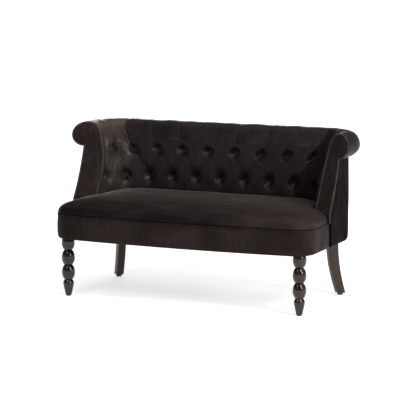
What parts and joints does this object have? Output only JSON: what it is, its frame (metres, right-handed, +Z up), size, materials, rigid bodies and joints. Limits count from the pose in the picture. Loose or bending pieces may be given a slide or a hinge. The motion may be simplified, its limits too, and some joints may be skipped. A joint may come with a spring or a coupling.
{
  "type": "loveseat",
  "caption": "Small upholstered settee with a rolled, deep-buttoned back running round into low rolled arms, a padded seat, turned beaded front legs and swept square rear legs.",
  "frame": {"origin": "on the floor, under the middle of the whole settee", "axes": "+X to the right as seen by someone facing the settee, +Y from the seat's front towards its back, +Z up"},
  "size_m": [1.264, 0.6115, 0.705],
  "materials": {
    "velvet": "short-pile cotton velvet, near black with a slight warm cast, grey sheen where the pile catches the light",
    "black_lacquer": "hardwood in gloss black-brown lacquer",
    "birch": "plain unfinished birch frame timber",
    "webbing": "woven upholstery webbing",
    "dust_cover_cloth": "thin black non-woven cloth",
    "glide_plastic": "moulded black plastic glide"
  },
  "bodies": {
    "root": {"seat_pad": "velvet", "seat_border": "velvet", "seat_welt": "velvet", "inside_back_pad": "velvet", "outside_back_panel": "velvet", "inside_arm_pad_left": "velvet", "inside_arm_pad_right": "velvet", "outside_arm_panel_left": "velvet", "outside_arm_panel_right": "velvet", "arm_facing_left": "velvet", "arm_facing_right": "velvet", "facing_welt_left": "velvet", "facing_welt_right": "velvet", "button_top_01": "velvet", "button_top_02": "velvet", "button_top_03": "velvet", "button_top_04": "velvet", "button_top_05": "velvet", "button_top_06": "velvet", "button_top_07": "velvet", "button_top_08": "velvet", "button_top_09": "velvet", "button_top_10": "velvet", "button_low_01": "velvet", "button_low_02": "velvet", "button_low_03": "velvet", "button_low_04": "velvet", "button_low_05": "velvet", "button_low_06": "velvet", "button_low_07": "velvet", "button_low_08": "velvet", "button_low_09": "velvet", "button_low_10": "velvet", "button_low_11": "velvet", "front_rail": "birch", "back_rail": "birch", "seat_stretcher": "birch", "back_centre_post": "birch", "back_top_rail": "birch", "side_rail_left": "birch", "side_rail_right": "birch", "front_corner_block_left": "birch", "front_corner_block_right": "birch", "rear_corner_post_left": "birch", "rear_corner_post_right": "birch", "arm_post_left": "birch", "arm_post_right": "birch", "arm_top_rail_left": "birch", "arm_top_rail_right": "birch", "front_leg_left": "black_lacquer", "front_leg_right": "black_lacquer", "rear_leg_left": "black_lacquer", "rear_leg_right": "black_lacquer", "front_glide_left": "glide_plastic", "front_glide_right": "glide_plastic", "rear_glide_left": "glide_plastic", "rear_glide_right": "glide_plastic", "seat_webbing": "webbing", "back_webbing": "webbing", "dust_cover": "dust_cover_cloth"}
  },
  "joints": []
}
